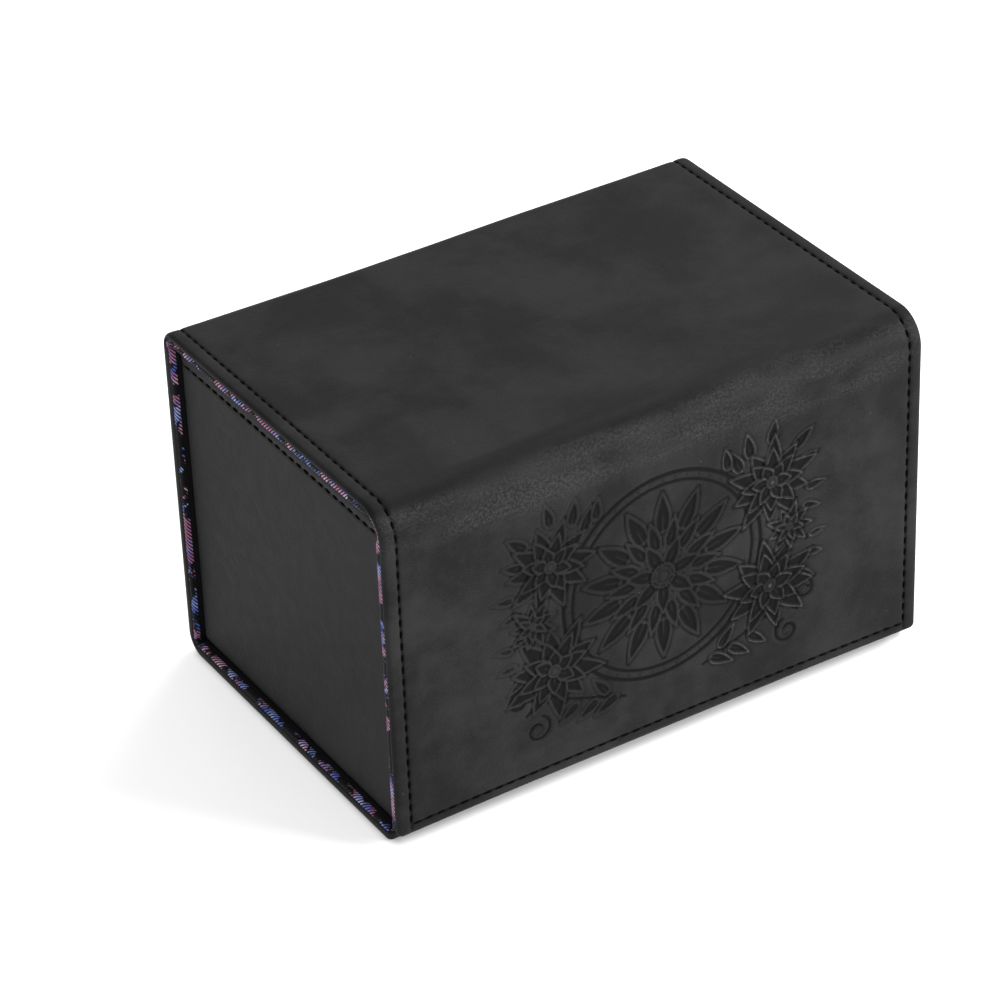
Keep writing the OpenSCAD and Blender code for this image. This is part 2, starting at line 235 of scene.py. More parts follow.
class Pressing:
    """A height map, in millimetres below the leather's face, on which shapes are laid in turn."""

    def __init__(self, x, z):
        self.x, self.z = x, z
        self.depth = np.zeros(x.shape)

    def lay(self, inside, depth, skirt=0.45):
        """Covers what lies under it where inside > 0, and presses a groove just outside its edge."""
        outside = smooth((inside + skirt) / skirt)
        groove = 0.20 * bell((inside + 0.45) / 0.33)
        self.depth = np.where(inside > 0, depth, self.depth * (1 - 0.8 * outside) + groove)

    def petal(self, at, angle, length, width, sunk=0.34, point=0.62):
        """One pointed petal: a thin raised border round a sunken field with a vein."""
        c, s = math.cos(angle), math.sin(angle)
        u = ((self.x - at[0]) * c + (self.z - at[1]) * s) / length
        v = -(self.x - at[0]) * s + (self.z - at[1]) * c
        along = np.clip(u, 0, 1)
        half = width * np.sin(math.pi * along ** point) ** 0.8
        inside = np.minimum(half - np.abs(v), np.minimum(u, 1 - u) * length * 0.9)
        border = 0.11 * bell((inside - 0.22) / 0.34)
        field = sunk * smooth((inside - 0.42) / 0.42) - border
        field -= 0.20 * bell(v / 0.3) * smooth((0.62 - u) / 0.3) * (inside > 0.5)
        self.lay(inside, field)

    def blossom(self, at, size, turn, tiers=((10, 1.0), (8, 0.70), (6, 0.42))):
        """Rings of petals, the outer ones underneath, with fine stamens in the middle."""
        for count, share in tiers:
            for i in range(count):
                angle = turn + share * 2 + 2 * math.pi * i / count
                start = (at[0] + 0.10 * size * math.cos(angle), at[1] + 0.10 * size * math.sin(angle))
                stretch = 1 + 0.10 * math.sin(5 * angle + turn)
                self.petal(start, angle, size * share * stretch, size * 0.15 * (0.85 + 0.6 * share))
        self.dot(at, 0.13 * size)

    def dot(self, at, radius):
        away = np.hypot(self.x - at[0], self.z - at[1])
        field = smooth((away / radius - 0.25) / 0.4) * smooth((radius - away) / 0.4)
        self.lay(radius - away, 0.28 * field - 0.09)

    def ring(self, at, radius, width, sunk):
        away = np.abs(np.hypot(self.x - at[0], self.z - at[1]) - radius)
        self.depth += sunk * np.exp(-(away / width) ** 4)

    def stroke(self, points, width, sunk):
        """A groove along a smooth line of points."""
        nearest = np.full(self.x.shape, 1e9)
        for (ax, az), (bx, bz) in zip(points[:-1], points[1:]):
            dx, dz = bx - ax, bz - az
            t = np.clip(((self.x - ax) * dx + (self.z - az) * dz) / (dx * dx + dz * dz), 0, 1)
            nearest = np.minimum(nearest, np.hypot(self.x - ax - t * dx, self.z - az - t * dz))
        self.depth = np.maximum(self.depth, sunk * np.exp(-(nearest / width) ** 4))
        self.depth -= 0.05 * bell((nearest - 1.9 * width) / (0.55 * width))

    def scroll(self, at, start, turn, radius):
        """A tendril that winds in on itself, with a bud at its heart."""
        steps = np.linspace(0, 1, 26)
        angle = start + turn * 2 * math.pi * 1.15 * steps
        reach = radius * (1 - steps) ** 0.8 + 0.7
        points = [(at[0] + r * math.cos(a), at[1] + r * math.sin(a)) for a, r in zip(angle, reach)]
        self.stroke(points, 0.52, 0.30)
        self.dot(at, 0.16 * radius + 0.5)

    def spray(self, side):
        """The blossoms, leaves and scrolls on one side of the ring; the other side mirrors it."""
        def at(x, z):
            return (side * x, z)

        def way(degrees):
            return math.radians(degrees if side > 0 else 180 - degrees)

        stem = [at(12 + 34 * t, 19.5 + 10 * t * t + 4 * math.sin(2.6 * t)) for t in np.linspace(0, 1, 18)]
        self.stroke(stem, 0.5, 0.30)
        self.scroll(at(43.5, 30.5), way(-110), -side, 4.6)
        self.scroll(at(38.5, 20.0), way(110), side, 3.4)
        low = ((14, 21, -28, 8.5), (20, 22, -34, 8), (26, 23.5, -38, 7.5), (17, 22.5, 52, 8),
               (44, 42, -8, 6), (45, 47, 10, 5.5), (42, 37, -30, 6), (44, 62, 5, 6.5), (43, 57, -14, 6))
        high = ((24, 74, 115, 8), (20, 76, 98, 7), (40, 75, 40, 8), (41, 70, 18, 7),
                (33, 79, 78, 7.5), (27, 77, 100, 8))
        for leaves, share in ((low, 0.21), (high, 0.23)):
            for x, z, degrees, length in leaves:
                self.petal(at(x, z), way(degrees), length, share * length)
        self.blossom(at(33.5, 67.5), 12.0, way(8))
        self.blossom(at(33.0, 36.0), 13.0, way(20))
        self.blossom(at(39.0, 52.0), 6.6, way(40), ((9, 1.0), (6, 0.6)))

    def medallion(self):
        away = np.hypot(self.x - RING_AT[0], self.z - RING_AT[1])
        self.depth += 0.10 * smooth((RING_R + 1.5 - away) / 4) - 0.16 * smooth((24 - away) / 14)
        self.ring(RING_AT, RING_R, 0.62, 0.32)
        self.ring(RING_AT, RING_R - 2.7, 0.45, 0.26)
        bead_count, bead_r = 48, RING_R - 1.35
        for i in range(bead_count):
            angle = 2 * math.pi * i / bead_count
            spot = bead_r * math.cos(angle), RING_AT[1] + bead_r * math.sin(angle)
            self.depth += 0.14 * np.exp(-((self.x - spot[0]) ** 2 + (self.z - spot[1]) ** 2) / 0.16)
        tiers = ((14, 12.0, 13.0, 2.5), (14, 9.5, 8.0, 2.0), (7, 8.5, 3.0, 2.3))
        for count, length, start, width in tiers:
            for i in range(count):
                angle = 2 * math.pi * (i + 0.5 * (start < 10)) / count + math.pi / 2
                at = RING_AT[0] + start * math.cos(angle), RING_AT[1] + start * math.sin(angle)
                self.petal(at, angle, length, width)
        self.ring(RING_AT, 4.1, 0.4, 0.22)
        self.dot(RING_AT, 2.4)
        for side in (-1, 1):
            self.spray(side)


def flap_s(height):
    """Where a height above the ground, in millimetres, lies on the unrolled flap."""
    return S["flap"] + (TOP_Z - R_FRONT - height * MM)


def ornament(x, s):
    """Depth of the pressed ornament at points of the unrolled cover, in metres."""
    height = (TOP_Z - R_FRONT - (s - S["flap"])) / MM
    across = np.broadcast_to(x / MM, height.shape)
    near = np.abs(across) < ORNAMENT_HALF + 4
    near &= (height > ORNAMENT_LOW - 4) & (height < ORNAMENT_HIGH + 3)
    depth = np.zeros(height.shape)
    if near.any():
        pressing = Pressing(across[near], height[near])
        pressing.medallion()
        depth[near] = pressing.depth * MM
    return depth


# ---------------- meshes
def make_piece(name, points, faces, material, uv=None, painted_light_depth=None, flat_faces=(), inner_faces=()):
    """A smooth-shaded closed mesh with outward normals, and its flat coordinates as a UV map."""
    mesh = bpy.data.meshes.new(name)
    mesh.from_pydata(points, [], faces)
    tidy = bmesh.new()
    tidy.from_mesh(mesh)
    bmesh.ops.recalc_face_normals(tidy, faces=tidy.faces)
    if len(inner_faces):
        tidy.faces.ensure_lookup_table()
        bmesh.ops.reverse_faces(tidy, faces=[tidy.faces[i] for i in inner_faces])
    tidy.to_mesh(mesh)
    tidy.free()
    shade = np.ones(len(mesh.polygons), bool)
    shade[list(flat_faces)] = False
    mesh.polygons.foreach_set("use_smooth", shade)
    for face in flat_faces:
        for corner in mesh.polygons[face].loop_indices:
            mesh.edges[mesh.loops[corner].edge_index].use_edge_sharp = True
    if uv is not None:
        corner = np.zeros(len(mesh.loops), np.int32)
        mesh.loops.foreach_get("vertex_index", corner)
        layer = mesh.uv_layers.new(name="Flat")
        layer.data.foreach_set("uv", np.asarray(uv, np.float32)[corner].ravel())
    if painted_light_depth is not None:
        pressed = mesh.attributes.new("painted_light_depth", "FLOAT", "POINT")
        pressed.data.foreach_set("value", painted_light_depth.astype(np.float32))
    mesh.materials.append(material)
    piece = bpy.data.objects.new(name, mesh)
    scene.collection.objects.link(piece)
    return piece


def turned_sheet(name, xs, ss, face, rim, place, material, free=(True, True), under=None, painted_light_depth=None):
    """A sheet with its free edges turned over.

    xs and ss are the grid lines of its flat face, and face gives the depth there. rim lists
    the turned edge from the face outwards and round to the hidden side: how far out it reaches,
    how deep it is, and its shares of the face's own depth and of under(s). place puts flat points
    (x, s, depth) where they belong. Where an end isn't free it is cut straight.
    """
    rows, cols = len(ss), len(xs)
    grid_x, grid_s = np.meshgrid(xs, ss)
    depth = face(grid_x, grid_s)
    number = np.arange(rows * cols).reshape(rows, cols)
    corner_steps = 5
    last_row, last_col = rows - 1, cols - 1

    def fan(i, j, first):
        return [(i, j, first + math.pi / 2 * k / corner_steps) for k in range(1, corner_steps)]

    left = [(i, 0, math.pi) for i in range(last_row, -1, -1)]
    right = [(i, last_col, 0.0) for i in range(rows)]
    low = (fan(0, 0, math.pi) + [(0, j, 1.5 * math.pi) for j in range(cols)]
           + fan(0, last_col, 1.5 * math.pi))
    high = (fan(last_row, last_col, 0.0) + [(last_row, j, math.pi / 2) for j in range(last_col, -1, -1)]
            + fan(last_row, 0, math.pi / 2))
    way = {(True, True): left + low + right + high, (True, False): left + low + right,
           (False, True): right + high + left}[free]
    pi, pj = (np.array([w[k] for w in way]) for k in (0, 1))
    out_x, out_s = (np.round([f(w[2]) for w in way], 12) for f in (math.cos, math.sin))
    edge_x, edge_s, edge_d = xs[pj], ss[pi], depth[pi, pj]
    extra = under(edge_s) if under else 0.0

    flat = [np.stack([grid_x, grid_s, depth], -1).reshape(-1, 3)]
    uv = [flat[0][:, :2]]
    rings = []
    run, before = 0.0, (0.0, edge_d)
    for out, deep, of_face, of_extra in rim:
        out = out * MM
        ring_d = deep * MM + of_face * edge_d + of_extra * extra
        run = run + np.hypot(out - before[0], ring_d - before[1])
        before = (out, ring_d)
        rings.append(sum(len(f) for f in flat) + np.arange(len(way)))
        flat.append(np.stack([edge_x + out * out_x, edge_s + out * out_s,
                              np.broadcast_to(ring_d, edge_x.shape)], -1))
        uv.append(np.stack([edge_x + run * out_x, edge_s + run * out_s], -1))

    # The hidden side: a few columns across, between the innermost ring's two sides
    spans = 10
    first, last = (1 if free[0] else 0), (last_row - 1 if free[1] else last_row)
    place_in = {(i, side): k for k, (i, j, a) in enumerate(way)
                for side, angle in (("left", math.pi), ("right", 0.0)) if a == angle}
    inner = flat[-1]
    hidden = []
    for i in range(first, last + 1):
        left_k, right_k = place_in[i, "left"], place_in[i, "right"]
        start = sum(len(f) for f in flat)
        t = (np.arange(1, spans) / spans)[:, None]
        flat.append(inner[left_k] * (1 - t) + inner[right_k] * t)
        uv.append(flat[-1][:, :2])
        hidden.append([rings[-1][left_k], *range(start, start + spans - 1), rings[-1][right_k]])

    quads = np.stack([number[:-1, :-1], number[:-1, 1:], number[1:, 1:], number[1:, :-1]], -1)
    faces = quads.reshape(-1, 4).tolist()
    loops = [number[pi, pj], *rings]
    count = len(way) if all(free) else len(way) - 1
    for lower, upper in zip(loops[:-1], loops[1:]):
        for k in range(count):
            n = (k + 1) % len(way)
            ring = [int(lower[k]), int(lower[n]), int(upper[n]), int(upper[k])]
            faces.append(ring if ring[0] != ring[1] else ring[1:])
    for a, b in zip(hidden[:-1], hidden[1:]):
        faces += [[int(v) for v in (a[k], a[k + 1], b[k + 1], b[k])] for k in range(spans)]
    caps = []
    for end, row, line in ((0, first, hidden[0]), (1, last, hidden[-1])):
        if free[end]:
            a, b = place_in[row, "left"], place_in[row, "right"]
            if end:
                a, b = b, a
            run_of = [rings[-1][(a + k) % len(way)] for k in range((b - a) % len(way) + 1)]
            middle = line[1:-1] if end else line[1:-1][::-1]
            faces.append([int(v) for v in run_of + middle])
        else:
            left_k, right_k = place_in[row, "left"], place_in[row, "right"]
            caps.append(len(faces))
            faces.append([int(v) for v in [*number[row, :], *(r[right_k] for r in rings),
                                           *line[1:-1][::-1], *(r[left_k] for r in rings[::-1])]])
    flat = np.concatenate(flat)
    values = None
    if painted_light_depth is not None:
        values = np.zeros(len(flat))
        values[:rows * cols] = painted_light_depth(grid_x, grid_s).ravel()
    return make_piece(name, place(flat[:, 0], flat[:, 1], flat[:, 2]), faces, material,
                      np.concatenate(uv), values, caps)


def stations(first, *stretches):
    """Grid lines from first on. Each stretch gives its widest spacing in millimetres and its end."""
    lines = [first]
    for step, last in stretches:
        count = max(1, math.ceil(abs(last - first) / (step * MM) - 1e-6))
        lines.extend(np.linspace(first, last, count + 1)[1:])
        first = last
    return np.array(lines)


def ring_faces(n, rings, closed=False):
    """Quads between rings of n points each, and back to the first ring where they close."""
    return [[k * n + j, k * n + (j + 1) % n, (k + 1) % rings * n + (j + 1) % n, (k + 1) % rings * n + j]
            for k in range(rings if closed else rings - 1) for j in range(n)]


def stitch_tubes(name, rows, place, material):
    """Rows of stitches. Each row gives the middles of its stitches and its direction."""
    rings, sides = 7, 8
    half = 0.5 * (STITCH - STITCH_GAP)
    t = np.linspace(-1, 1, rings)
    turn = np.arange(sides) * 2 * math.pi / sides
    deep = 0.20 * MM + 0.50 * MM * np.abs(t) ** 3.2
    radius = (0.34 * MM * (1 - 0.28 * t ** 4))[:, None]
    radius = radius + 0.018 * MM * np.sin(2 * turn[None, :] + 3.2 * t[:, None])
    along, girth = np.broadcast_arrays((t * half)[:, None], turn * 0.3 * MM)
    tube = ring_faces(sides, rings)
    tube += [list(range(sides)), list(range((rings - 1) * sides, rings * sides))[::-1]]
    points, faces, uv = [], [], []
    for centre, direction in rows:
        sideways = np.array([-direction[1], direction[0]])
        for at in centre:
            middle = at + np.outer(t * half, direction) + np.outer(t * STITCH_SLANT, sideways)
            flat = np.empty((rings, sides, 3))
            flat[..., :2] = middle[:, None, :] + (radius * np.cos(turn))[..., None] * sideways
            flat[..., 2] = deep[:, None] + radius * np.sin(turn)
            base = len(points) * rings * sides
            faces += [[base + v for v in face] for face in tube]
            points.append(flat.reshape(-1, 3))
            uv.append(np.stack([along, girth], -1).reshape(-1, 2))
    flat = np.concatenate(points)
    return make_piece(name, place(flat[:, 0], flat[:, 1], flat[:, 2]), faces, material,
                      np.concatenate(uv))


def round_corner(u, v, corner, sign, radius):
    """Moves flat points so that a square corner of the outline becomes a round one."""
    a = (u - corner[0]) * sign[0] / radius + 1
    b = (v - corner[1]) * sign[1] / radius + 1
    inside = (a > 0) & (b > 0)
    a, b = np.where(inside, a, 0), np.where(inside, b, 0)
    new_a = a * np.sqrt(np.clip(1 - b * b / 2, 0, 1))
    new_b = b * np.sqrt(np.clip(1 - a * a / 2, 0, 1))
    return u + (new_a - a) * radius * sign[0], v + (new_b - b) * radius * sign[1]


def filleted(points, radius, steps=5):
    """A closed outline with its sharp corners rounded."""
    out = []
    points = [Vector(p) for p in points]
    for before, here, after in zip(points[-1:] + points[:-1], points, points[1:] + points[:1]):
        a, b = (before - here).normalized(), (after - here).normalized()
        if a.dot(b) < -0.9:
            out.append(here)
            continue
        half = a.angle(b) / 2
        reach = radius / math.tan(half)
        middle = here + (a + b).normalized() * (radius / math.sin(half))
        first, last = here + a * reach - middle, here + b * reach - middle
        for k in range(steps + 1):
            out.append(middle + first.slerp(last, k / steps).normalized() * radius)
    return np.array([tuple(p) for p in out])


def outward_normals(loop):
    """Unit normals of a closed outline that runs counterclockwise."""
    ahead, behind = np.roll(loop, -1, 0) - loop, loop - np.roll(loop, 1, 0)
    way = sum(v / np.linalg.norm(v, axis=1)[:, None] for v in (ahead, behind))
    way /= np.linalg.norm(way, axis=1)[:, None]
    return np.stack([way[:, 1], -way[:, 0]], -1)


# ---------------- materials
def node(owner, kind, inputs=None, **settings):
    """A shader node with its settings, in the node tree that owner is or belongs to.

    An input is a constant, or another node's output.
    """
    made = owner.id_data.nodes.new(kind)
    for key, value in settings.items():
        setattr(made, key, value)
    for key, value in (inputs or {}).items():
        if isinstance(value, bpy.types.NodeSocket):
            owner.id_data.links.new(value, made.inputs[key])
        else:
            made.inputs[key].default_value = value
    return made


def maths(operation, a, b=0.0, clamp=False):
    owner = a if isinstance(a, bpy.types.NodeSocket) else b
    made = node(owner, "ShaderNodeMath", {0: a, 1: b}, operation=operation, use_clamp=clamp)
    return made.outputs[0]


def plus(a, b, clamp=False):
    return maths("ADD", a, b, clamp)


def times(a, b):
    return maths("MULTIPLY", a, b)


def noise(vector, size, detail=4.0, roughness=0.5, distortion=0.0):
    """Noise whose lumps are about size millimetres across, from 0 to 1."""
    return node(vector, "ShaderNodeTexNoise", {
        "Vector": vector, "Scale": 1 / (size * MM), "Detail": detail, "Roughness": roughness,
        "Distortion": distortion}).outputs["Fac"]


def ramp(value, low, high, first=0.0, last=1.0):
    """Maps low..high smoothly onto first..last."""
    return node(value, "ShaderNodeMapRange", {
        "Value": value, "From Min": low, "From Max": high, "To Min": first, "To Max": last,
    }, interpolation_type="SMOOTHSTEP").outputs["Result"]


def mix(factor, a, b):
    """Blends two colours, each a plain triple or another node's output."""
    a, b = ((*value, 1.0) if isinstance(value, tuple) else value for value in (a, b))
    return node(factor, "ShaderNodeMix", {0: factor, 6: a, 7: b}, data_type="RGBA").outputs[2]


def bump(height, distance, normal=None):
    """Relief of that depth in metres where height goes from 0 to 1."""
    inputs = {"Height": height, "Distance": distance, "Strength": 1.0}
    if normal is not None:
        inputs["Normal"] = normal
    return node(height, "ShaderNodeBump", inputs).outputs["Normal"]


def sine(value, period):
    return maths("SINE", times(value, 2 * math.pi / period))


def new_material(name, **sockets):
    """A material with those constants on its shader, and its node tree."""
    made = bpy.data.materials.new(name)
    made.use_nodes = True
    for key, value in sockets.items():
        shader_input(made, key.replace("_", " ")).default_value = value
    return made, made.node_tree


def shader_input(material, key):
    return material.node_tree.nodes["Principled BSDF"].inputs[key]


def flat_coords(tree, scale=(1.0, 1.0, 1.0)):
    at = node(tree, "ShaderNodeUVMap", uv_map="Flat").outputs["UV"]
    return node(tree, "ShaderNodeMapping", {"Vector": at, "Scale": scale}).outputs["Vector"]


def body_coords(tree, scale=(1.0, 1.0, 1.0)):
    at = node(tree, "ShaderNodeTexCoord").outputs["Object"]
    return node(tree, "ShaderNodeMapping", {"Vector": at, "Scale": scale}).outputs["Vector"]


def split(at):
    return node(at, "ShaderNodeSeparateXYZ", {"Vector": at}).outputs


def finish_material(made, colour, roughness, normal):
    for key, value in (("Base Color", colour), ("Roughness", roughness), ("Normal", normal)):
        made.node_tree.links.new(value, shader_input(made, key))
    return made


LEATHER_DARK, LEATHER_PALE = (0.0104, 0.0104, 0.0107), (0.0234, 0.0233, 0.0235)
# Painted shade for pressed hollows, seams and the crease by the fold; painted highlight on the ornament's
# ridges; the fold's paler band is partly wear and partly painted highlight
PAINTED_HOLLOW_SHADE, PAINTED_RIDGE_HIGHLIGHT, LINT = (0.0016, 0.0016, 0.0018), (0.052, 0.052, 0.053), (0.14, 0.136, 0.13)
PAINTED_CREASE_SHADE, WORN_AND_HIGHLIT = (0.004, 0.004, 0.0042), (0.044, 0.0435, 0.0435)
TWILL_DARK, TWILL_PALE = (0.0008, 0.0007, 0.0011), (0.0036, 0.0030, 0.0050)
ROSE_DARK, ROSE_PALE = (0.50, 0.19, 0.36), (0.80, 0.46, 0.66)
BLUE_DARK, BLUE_PALE = (0.10, 0.17, 0.68), (0.36, 0.50, 0.95)
THREAD_DARK, THREAD_PALE = (0.0006, 0.0006, 0.0007), (0.0034, 0.0034, 0.0037)
CARD_DARK, CARD_PALE, FIBRE = (0.014, 0.0135, 0.013), (0.026, 0.025, 0.024), (0.045, 0.043, 0.040)
STEEL_DARK, STEEL_PALE = (0.50, 0.49, 0.47), (0.64, 0.63, 0.60)


def leather_material(name, wear_and_highlight_at=None):
    """Black waxy leather: clouded, finely grained, with lint. It carries painted shade in its pressed
    hollows, along its seams and in a crease line by the fold, painted highlight on the ornament's ridges,
    and a paler band over the fold that is partly scuffing and partly painted highlight.
    """
    made, tree = new_material(name, Specular_IOR_Level=0.055, IOR=1.5)
    at = flat_coords(tree)
    cloud = noise(at, 30, 5, 0.55, 0.4)
    mottle = noise(at, 5, 6, 0.62)
    fine = noise(at, 0.45, 3, 0.6)
    pores = node(tree, "ShaderNodeTexVoronoi", {
        "Vector": at, "Scale": 1 / (0.62 * MM), "Randomness": 1.0}, feature="SMOOTH_F1")
    shade = plus(ramp(cloud, 0.3, 0.72), ramp(mottle, 0.3, 0.75, -0.22, 0.22))
    shade = plus(shade, ramp(fine, 0.3, 0.7, -0.25, 0.25), clamp=True)
    colour = mix(shade, LEATHER_DARK, LEATHER_PALE)
    painted_light_depth = node(tree, "ShaderNodeAttribute", attribute_name="painted_light_depth").outputs["Fac"]
    sunk = ramp(painted_light_depth, 0.05 * MM, 0.30 * MM)
    ridge_highlight = ramp(painted_light_depth, -0.10 * MM, -0.02 * MM, 1.0, 0.0)
    # Painted shade in the pressed hollows and along the seams
    colour = mix(times(sunk, 0.85), colour, PAINTED_HOLLOW_SHADE)
    # Painted highlight on the ornament's raised ridges
    colour = mix(times(ridge_highlight, 0.9), colour, PAINTED_RIDGE_HIGHLIGHT)
    rough = plus(ramp(cloud, 0.25, 0.75, 0.46, 0.58),
                 ramp(mottle, 0.3, 0.7, -0.05, 0.05))
    # Lint: a few tiny pale specks
    cells = node(tree, "ShaderNodeTexVoronoi", {"Vector": at, "Scale": 1 / (6 * MM)}, feature="F1")
    draw = node(tree, "ShaderNodeSeparateColor", {"Color": cells.outputs["Color"]}).outputs["Red"]
    chosen = maths("GREATER_THAN", draw, 0.68)
    speck = times(ramp(cells.outputs["Distance"], 0.015, 0.036, 1.0, 0.0), chosen)
    colour = mix(times(speck, 0.5), colour, LINT)
    if wear_and_highlight_at is not None:
        first, last = wear_and_highlight_at
        drift = noise(flat_coords(tree, (0.25, 1, 1)), 12, 3)
        s = plus(split(at)["Y"], ramp(drift, 0.2, 0.8, -2 * MM, 2 * MM))
        # A paler band over the fold: partly scuffing, partly painted highlight on the bend
        band = times(ramp(s, first, first + 5 * MM),
                     ramp(s, last - 5 * MM, last, 1.0, 0.0))
        patches = noise(flat_coords(tree, (0.35, 1, 1)), 14, 4, 0.6)
        grit = ramp(noise(at, 0.9, 4, 0.8), 0.42, 0.62, 0.05, 1.0)
        wear_and_highlight = times(times(band, ramp(patches, 0.36, 0.66)), grit)
        # Painted shade: a dark crease line on the lid just before the fold
        crease_shade = times(ramp(s, first - 5 * MM, first - 1 * MM),
                       ramp(s, first - 1 * MM, first + 4 * MM, 1.0, 0.0))
        crease_shade = times(crease_shade, ramp(cloud, 0.3, 0.6, 0.1, 0.6))
        colour = mix(wear_and_highlight, mix(crease_shade, colour, PAINTED_CREASE_SHADE), WORN_AND_HIGHLIT)
        rough = plus(rough, times(wear_and_highlight, 0.08))
        fine = plus(fine, times(wear_and_highlight, times(grit, 1.5)))
    height = plus(times(fine, 0.55), times(pores.outputs["Distance"], 0.45))
    normal = bump(height, 0.05 * MM, bump(mottle, 0.10 * MM))
    return finish_material(made, colour, rough, normal)


def lining_material(name, gap_shade_at=None):
    """A dark twill with scattered rose and periwinkle patches, woven in fine diagonal ribs."""
    made, tree = new_material(name, Specular_IOR_Level=0.15, Sheen_Weight=0.04,
                                      Sheen_Roughness=0.5)
    at = flat_coords(tree)
    x, y = (split(at)[axis] for axis in "XY")
    slant = plus(x, times(y, 0.9))
    slant = plus(slant, times(noise(at, 3, 2), 0.12 * MM))
    rib = ramp(sine(slant, 1.05 * MM), -0.55, 0.35)
    weft = sine(maths("SUBTRACT", x, y), 0.55 * MM)
    thread = times(rib, ramp(weft, -1.0, 0.8, 0.55, 1.0))
    rose = ramp(noise(at, 11, 3, 0.55, 1.2), 0.50, 0.53)
    shift = node(tree, "ShaderNodeVectorMath", {0: at, 1: (0.31, 0.17, 0.0)}, operation="ADD").outputs[0]
    blue = ramp(noise(shift, 7, 3, 0.6, 1.5), 0.545, 0.575)
    pale = ramp(noise(shift, 4, 2), 0.4, 0.65)
    ground = mix(rib, TWILL_DARK, TWILL_PALE)
    if gap_shade_at is not None:
        # Painted shade: a plain dark strip just inside the turned edge, where the gap to the tray's end
        # panel lies in shade
        out = maths("ABSOLUTE", x)
        first, last = gap_shade_at
        painted_gap_shade = times(ramp(out, first, first + 0.2 * MM),
                         ramp(out, last, last + 0.2 * MM, 1.0, 0.0))
        thread = times(thread, maths("SUBTRACT", 1.0, painted_gap_shade))
    colour = mix(times(rose, thread), ground, mix(pale, ROSE_DARK, ROSE_PALE))
    colour = mix(times(blue, thread), colour, mix(pale, BLUE_DARK, BLUE_PALE))
    rough = ramp(thread, 0.0, 1.0, 0.85, 0.6)
    return finish_material(made, colour, rough, bump(thread, 0.06 * MM))


def thread_material(name):
    """Dull black thread, with its strands laid at a slant."""
    made, tree = new_material(name, Specular_IOR_Level=0.03)
    at = flat_coords(tree, (1.0, 2.4, 1.0))
    lay = plus(*(split(at)[axis] for axis in "XY"))
    strand = ramp(sine(lay, 0.42 * MM), -1, 1)
    fuzz = noise(at, 0.12, 3)
    colour = mix(times(strand, fuzz), THREAD_DARK, THREAD_PALE)
    rough = ramp(fuzz, 0.2, 0.8, 0.6, 0.85)
    return finish_material(made, colour, rough, bump(strand, 0.03 * MM))


def board_material(name):
    """Black card with paler fibres."""
    made, tree = new_material(name, Specular_IOR_Level=0.2)
    pulp = noise(body_coords(tree), 6, 5, 0.6)
    fibre = noise(body_coords(tree, (1.0, 4.0, 4.0)), 1.5, 4, 0.7)
    colour = mix(pulp, CARD_DARK, CARD_PALE)
    colour = mix(ramp(fibre, 0.58, 0.72, 0.0, 0.7), colour, FIBRE)
    rough = ramp(pulp, 0.2, 0.8, 0.8, 0.95)
    return finish_material(made, colour, rough, bump(fibre, 0.08 * MM))


def magnet_material(name):
    """Plated metal with fine scratches."""
    made, tree = new_material(name, Metallic=1.0)
    scratch = noise(body_coords(tree, (1.0, 1.0, 14.0)), 2, 6, 0.7)
    colour = mix(noise(body_coords(tree), 5, 4), STEEL_DARK, STEEL_PALE)
    rough = ramp(scratch, 0.3, 0.7, 0.20, 0.36)
    return finish_material(made, colour, rough, bump(scratch, 0.01 * MM))


# The band over the front fold is partly wear and partly painted highlight
COVER_LEATHER = leather_material("cover leather", (S["front_fold"] + 3 * MM, S["flap"] + 7 * MM))
TRAY_LEATHER = leather_material("tray leather")
LINING = lining_material("twill lining")
# The cover's lining carries a strip of painted shade by its turned edges
COVER_LINING = lining_material("twill lining with selvedge", (75.2 * MM, 78.75 * MM))
THREAD = thread_material("black thread")

# ---------------- the cover
TURN = 1.6 * MM
END_X = HALF_LEN - TURN
LEATHER_RIM = ((0.6, 0.02, 0.75, 0), (1.0, 0.15, 0.4, 0), (1.35, 0.42, 0.1, 0), (1.55, 0.8, 0, 0),
               (1.6, 1.15, 0, 0.3), (1.55, 1.5, 0, 0.7), (1.35, 1.75, 0, 0.95), (1.0, 1.8, 0, 1),
               (0.72, 1.65, 0, 1), (0.64, 1.3, 0, 0.3), (0.3, 1.12, 0, 0), (0, 1.1, 0, 0))
LINING_RIM = ((0.5, -0.02, 1, 0), (0.95, -0.15, 1, 0), (1.22, -0.45, 1, 0), (1.35, -0.95, 1, 0),
              (1.33, 0.45, 0.5, 0.5), (1.15, 1.95, 0, 1), (0.8, 1.9, 0, 1), (0.68, 2.1, 0, 0.9),
              (0.66, -0.85, 1, 0), (0.4, -0.78, 1, 0), (0, -0.78, 1, 0))
RIM_DEPTH = 1.8 * MM


def leather_under(s):
    return np.minimum(turned_depth(s), inner_depth(s) - 1.15 * MM) - RIM_DEPTH


# The ornament's depth plus the seams' painted shade: these set where the leather gets painted shade and
# painted highlight
def ornament_and_seam_shade(x, s):
    return ornament(x, s) + seam_shade(x, s)


def pressed_face(x, s):
    return leather_face(x, s) + ornament(x, s)


def lining_face(x, s):
    return inner_depth(s) + 0.05 * MM * waves(x, s, 23, 14 * MM, 60 * MM)


def length_lines(fine, mid, coarse):
    """Columns over the cover's length: fine by the edges, then coarse, and mid by the ornament."""
    half = ORNAMENT_HALF * MM
    return stations(-END_X, (fine, -END_X + 5 * MM), (coarse, -half), (mid, half),
                    (coarse, END_X - 5 * MM), (fine, END_X))


